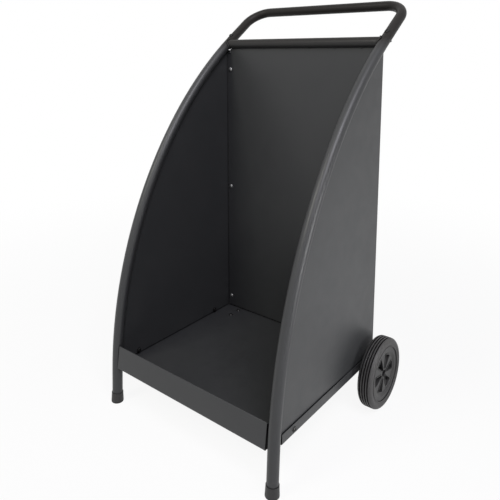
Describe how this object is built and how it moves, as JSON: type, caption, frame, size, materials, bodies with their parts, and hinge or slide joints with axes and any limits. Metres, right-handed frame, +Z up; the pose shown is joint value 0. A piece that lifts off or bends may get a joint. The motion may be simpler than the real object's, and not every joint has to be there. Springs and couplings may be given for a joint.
{
  "type": "fireside log cart",
  "caption": "Two-wheeled fireside log cart with curved tube sides, sheet panels, a shallow floor tray, rubber-capped legs and a slanted U-shaped push handle.",
  "frame": {"origin": "on the ground, under the middle of the cart's bounding box", "axes": "+X to the cart's right as seen from its open front, -Y out of the open front, +Z up"},
  "size_m": [0.515, 0.5156, 0.8685],
  "materials": {
    "powder_coat": "matte dark anthracite powder coat with a fine texture",
    "foot_plastic": "matte black moulded plastic",
    "wheel_plastic": "satin black moulded plastic",
    "tyre_rubber": "matte black rubber",
    "black_zinc": "black zinc plate",
    "zinc": "dull zinc plate"
  },
  "bodies": {
    "cart_frame": {"left_side_tube": "powder_coat", "right_side_tube": "powder_coat", "left_foot_cap": "foot_plastic", "right_foot_cap": "foot_plastic", "left_side_panel": "powder_coat", "right_side_panel": "powder_coat", "back_panel": "powder_coat", "top_crossbar": "powder_coat", "floor_tray": "powder_coat", "handle_tube": "powder_coat", "handle_bolts": "black_zinc", "handle_nuts": "black_zinc", "back_panel_screws": "black_zinc", "back_panel_nuts": "black_zinc", "tray_screws": "black_zinc", "tray_nuts": "black_zinc", "left_axle_bracket": "powder_coat", "right_axle_bracket": "powder_coat", "bracket_screws": "black_zinc", "bracket_nuts": "black_zinc", "axle_rod": "zinc", "axle_spacer_sleeves": "zinc", "axle_inner_washers": "zinc", "axle_outer_washers": "zinc", "axle_push_caps": "black_zinc"},
    "left_wheel": {"left_wheel_rim": "wheel_plastic", "left_wheel_tyre": "tyre_rubber"},
    "right_wheel": {"right_wheel_rim": "wheel_plastic", "right_wheel_tyre": "tyre_rubber"}
  },
  "joints": [
    {"name": "left_wheel_spin", "type": "hinge", "parent": "cart_frame", "child": "left_wheel", "pos_m": [-0.2415, 0.10211, 0.075], "axis": [1, 0, 0], "continuous": true},
    {"name": "right_wheel_spin", "type": "hinge", "parent": "cart_frame", "child": "right_wheel", "pos_m": [0.2415, 0.10211, 0.075], "axis": [1, 0, 0], "continuous": true}
  ]
}
